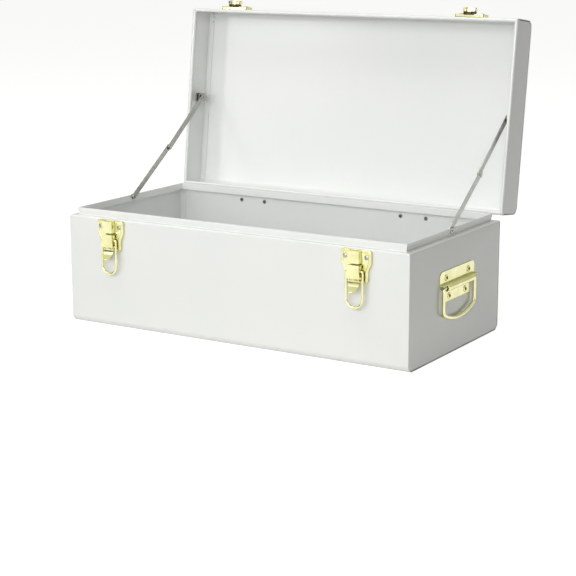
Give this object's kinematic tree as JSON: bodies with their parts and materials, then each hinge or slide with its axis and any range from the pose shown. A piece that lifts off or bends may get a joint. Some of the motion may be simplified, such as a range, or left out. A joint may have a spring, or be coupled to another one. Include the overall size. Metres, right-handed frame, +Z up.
{
  "type": "small tin trunk",
  "caption": "Small white sheet-steel trunk with a hinged lid on folding stays, brass draw latches and brass bail handles.",
  "frame": {"origin": "centre of the flat underside of the body", "axes": "+X along the trunk to the right, +Y from the latches to the hinges, +Z up"},
  "size_m": [0.5172, 0.3464, 0.4085],
  "materials": {
    "white_paint": "smooth semi-gloss white enamel on sheet steel",
    "brass_plate": "bright pale brass plate, polished",
    "nickel_plate": "dull bright nickel plate on steel"
  },
  "bodies": {
    "trunk_body": {"body_shell_wrap": "white_paint", "body_end_left": "white_paint", "body_end_right": "white_paint", "hinge_body_leaf_left": "white_paint", "hinge_body_leaf_right": "white_paint", "hinge_pin_left": "white_paint", "hinge_pin_right": "white_paint", "hinge_body_rivets": "nickel_plate", "latch_plate_left": "brass_plate", "latch_plate_right": "brass_plate", "latch_lever_pin_left": "brass_plate", "latch_lever_pin_right": "brass_plate", "latch_rivets": "nickel_plate", "handle_plate_left": "brass_plate", "handle_plate_right": "brass_plate", "handle_rivets": "brass_plate", "stay_foot_rivets": "nickel_plate"},
    "lid": {"lid_shell_wrap": "white_paint", "lid_end_left": "white_paint", "lid_end_right": "white_paint", "hinge_lid_leaf_left": "white_paint", "hinge_lid_leaf_right": "white_paint", "hinge_lid_rivets": "nickel_plate", "keeper_left": "brass_plate", "keeper_right": "brass_plate", "keeper_rivets": "nickel_plate", "stay_bracket_left": "nickel_plate", "stay_bracket_right": "nickel_plate", "stay_top_rivets": "nickel_plate"},
    "lever_left": {"latch_lever_left": "brass_plate"},
    "loop_left": {"latch_loop_left": "brass_plate"},
    "bail_left": {"handle_bail_left": "brass_plate"},
    "stay_lower_left": {"stay_lower_left": "nickel_plate", "stay_rivet_outer_left": "nickel_plate"},
    "stay_upper_left": {"stay_upper_left": "nickel_plate", "stay_rivet_inner_left": "nickel_plate"},
    "lever_right": {"latch_lever_right": "brass_plate"},
    "loop_right": {"latch_loop_right": "brass_plate"},
    "bail_right": {"handle_bail_right": "brass_plate"},
    "stay_lower_right": {"stay_lower_right": "nickel_plate", "stay_rivet_outer_right": "nickel_plate"},
    "stay_upper_right": {"stay_upper_right": "nickel_plate", "stay_rivet_inner_right": "nickel_plate"}
  },
  "joints": [
    {"name": "lid_hinge", "type": "hinge", "parent": "trunk_body", "child": "lid", "pos_m": [0, 0.1296, 0.144], "axis": [1, 0, 0], "range_deg": [0, 97.3]},
    {"name": "latch_lever_left", "type": "hinge", "parent": "trunk_body", "child": "lever_left", "pos_m": [-0.181, -0.133, 0.122], "axis": [1, 0, 0], "range_deg": [-100, 0]},
    {"name": "latch_loop_left", "type": "hinge", "parent": "lever_left", "child": "loop_left", "pos_m": [-0.181, -0.132, 0.117], "axis": [-1, 0, 0], "range_deg": [0, 180]},
    {"name": "handle_left", "type": "hinge", "parent": "trunk_body", "child": "bail_left", "pos_m": [-0.2542, 0, 0.0865], "axis": [0, 1, 0], "range_deg": [0, 90]},
    {"name": "stay_lower_left", "type": "hinge", "parent": "trunk_body", "child": "stay_lower_left", "pos_m": [-0.2404, 0, 0.1495], "axis": [1, 0, 0], "range_deg": [-30.91, 0]},
    {"name": "stay_upper_left", "type": "hinge", "parent": "lid", "child": "stay_upper_left", "pos_m": [-0.2386, 0.16541, 0.27007], "axis": [1, 0, 0], "range_deg": [0, 41.43]},
    {"name": "latch_lever_right", "type": "hinge", "parent": "trunk_body", "child": "lever_right", "pos_m": [0.181, -0.133, 0.122], "axis": [1, 0, 0], "range_deg": [-100, 0]},
    {"name": "latch_loop_right", "type": "hinge", "parent": "lever_right", "child": "loop_right", "pos_m": [0.181, -0.132, 0.117], "axis": [-1, 0, 0], "range_deg": [0, 180]},
    {"name": "handle_right", "type": "hinge", "parent": "trunk_body", "child": "bail_right", "pos_m": [0.2542, 0, 0.0865], "axis": [0, -1, 0], "range_deg": [0, 90]},
    {"name": "stay_lower_right", "type": "hinge", "parent": "trunk_body", "child": "stay_lower_right", "pos_m": [0.2404, 0, 0.1495], "axis": [1, 0, 0], "range_deg": [-30.91, 0]},
    {"name": "stay_upper_right", "type": "hinge", "parent": "lid", "child": "stay_upper_right", "pos_m": [0.2386, 0.16541, 0.27007], "axis": [1, 0, 0], "range_deg": [0, 41.43]}
  ],
  "couplings": [
    {"joint": "stay_lower_left", "follows": "lid_hinge", "ratio": -0.3176},
    {"joint": "stay_upper_left", "follows": "lid_hinge", "ratio": 0.42573},
    {"joint": "stay_lower_right", "follows": "lid_hinge", "ratio": -0.3176},
    {"joint": "stay_upper_right", "follows": "lid_hinge", "ratio": 0.42573}
  ]
}
